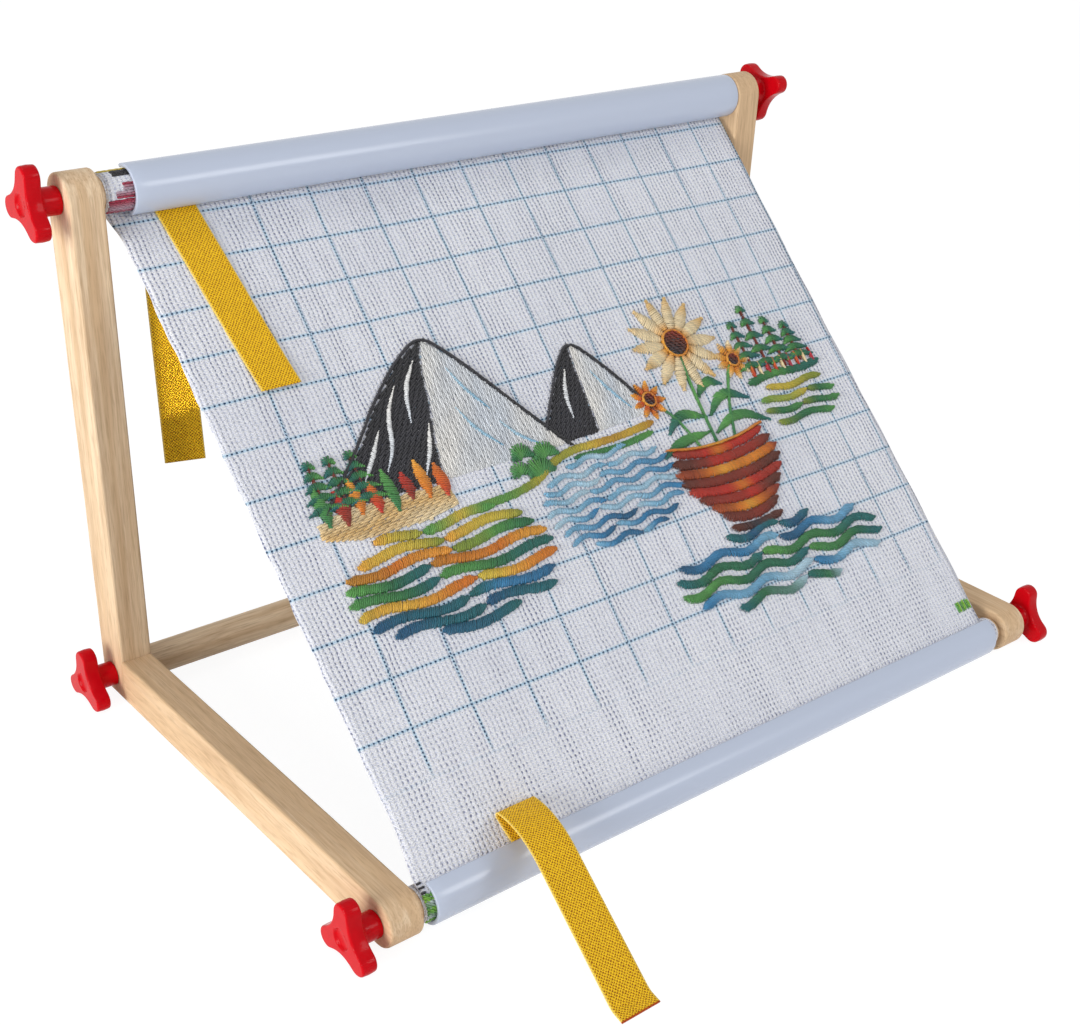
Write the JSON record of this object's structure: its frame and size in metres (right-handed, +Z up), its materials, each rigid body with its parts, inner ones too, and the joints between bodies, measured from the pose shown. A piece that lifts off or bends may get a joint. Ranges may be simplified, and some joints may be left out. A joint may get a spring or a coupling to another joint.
{
  "type": "cross stitch frame",
  "caption": "Table-top scroll frame for cross stitch: L-shaped wooden sides, a crossbar and cloth rollers clamped by lobed knobs, half-pipe cloth clips and webbing pull straps.",
  "frame": {"origin": "middle of the footprint, on the table that the frame stands on", "axes": "+X to the user's right along the rollers, -Y towards the user, +Z up"},
  "size_m": [0.5536, 0.424, 0.327],
  "materials": {
    "wood": "sanded pine or beech, unvarnished",
    "pin_wood": "hardwood dowel",
    "cloth": "evenweave cotton, stitched over",
    "clip_plastic": "glossy white extruded plastic",
    "webbing": "woven polyester webbing, golden yellow",
    "insert_brass": "turned",
    "stud_steel": "zinc plated",
    "knob_plastic": "glossy red moulded plastic"
  },
  "bodies": {
    "stand": {"left_upright": "wood", "right_upright": "wood", "left_base_arm": "wood", "right_base_arm": "wood", "left_lower_dowel_pin": "pin_wood", "left_upper_dowel_pin": "pin_wood", "right_lower_dowel_pin": "pin_wood", "right_upper_dowel_pin": "pin_wood", "back_crossbar": "wood", "back_left_insert": "insert_brass", "back_right_insert": "insert_brass", "back_left_stud": "stud_steel", "back_right_stud": "stud_steel", "cloth_panel": "cloth", "top_strap": "webbing"},
    "top_scroll": {"top_roller": "wood", "top_cloth_roll": "cloth", "top_left_insert": "insert_brass", "top_right_insert": "insert_brass", "top_left_stud": "stud_steel", "top_right_stud": "stud_steel"},
    "bottom_scroll": {"bottom_roller": "wood", "bottom_cloth_roll": "cloth", "bottom_left_insert": "insert_brass", "bottom_right_insert": "insert_brass", "bottom_left_stud": "stud_steel", "bottom_right_stud": "stud_steel"},
    "top_clamp": {"top_clip": "clip_plastic"},
    "bottom_clamp": {"bottom_clip": "clip_plastic", "bottom_strap": "webbing"},
    "top_left_nut": {"top_left_knob": "knob_plastic", "top_left_knob_bush": "insert_brass"},
    "top_right_nut": {"top_right_knob": "knob_plastic", "top_right_knob_bush": "insert_brass"},
    "bottom_left_nut": {"bottom_left_knob": "knob_plastic", "bottom_left_knob_bush": "insert_brass"},
    "bottom_right_nut": {"bottom_right_knob": "knob_plastic", "bottom_right_knob_bush": "insert_brass"},
    "back_left_nut": {"back_left_knob": "knob_plastic", "back_left_knob_bush": "insert_brass"},
    "back_right_nut": {"back_right_knob": "knob_plastic", "back_right_knob_bush": "insert_brass"}
  },
  "joints": [
    {"name": "top_roller_turn", "type": "hinge", "parent": "stand", "child": "top_scroll", "pos_m": [0, 0.19107, 0.306], "axis": [1, 0, 0], "continuous": true},
    {"name": "bottom_roller_turn", "type": "hinge", "parent": "stand", "child": "bottom_scroll", "pos_m": [0, -0.09693, 0.014], "axis": [1, 0, 0], "continuous": true},
    {"name": "top_clip_pull", "type": "slide", "parent": "stand", "child": "top_clamp", "axis": [0, -0.9511, 0.309], "range_m": [0, 0.03]},
    {"name": "bottom_clip_pull", "type": "slide", "parent": "stand", "child": "bottom_clamp", "axis": [0, -1, 0], "range_m": [0, 0.03]},
    {"name": "top_left_knob_turn", "type": "hinge", "parent": "top_scroll", "child": "top_left_nut", "pos_m": [-0.2665, 0.19107, 0.306], "axis": [-1, 0, 0], "continuous": true},
    {"name": "top_right_knob_turn", "type": "hinge", "parent": "top_scroll", "child": "top_right_nut", "pos_m": [0.2665, 0.19107, 0.306], "axis": [1, 0, 0], "continuous": true},
    {"name": "bottom_left_knob_turn", "type": "hinge", "parent": "bottom_scroll", "child": "bottom_left_nut", "pos_m": [-0.2665, -0.09693, 0.014], "axis": [-1, 0, 0], "continuous": true},
    {"name": "bottom_right_knob_turn", "type": "hinge", "parent": "bottom_scroll", "child": "bottom_right_nut", "pos_m": [0.2665, -0.09693, 0.014], "axis": [1, 0, 0], "continuous": true},
    {"name": "back_left_knob_turn", "type": "hinge", "parent": "stand", "child": "back_left_nut", "pos_m": [-0.2665, 0.19107, 0.014], "axis": [-1, 0, 0], "continuous": true},
    {"name": "back_right_knob_turn", "type": "hinge", "parent": "stand", "child": "back_right_nut", "pos_m": [0.2665, 0.19107, 0.014], "axis": [1, 0, 0], "continuous": true}
  ],
  "couplings": [
    {"joint": "bottom_roller_turn", "follows": "top_roller_turn", "ratio": -1}
  ]
}
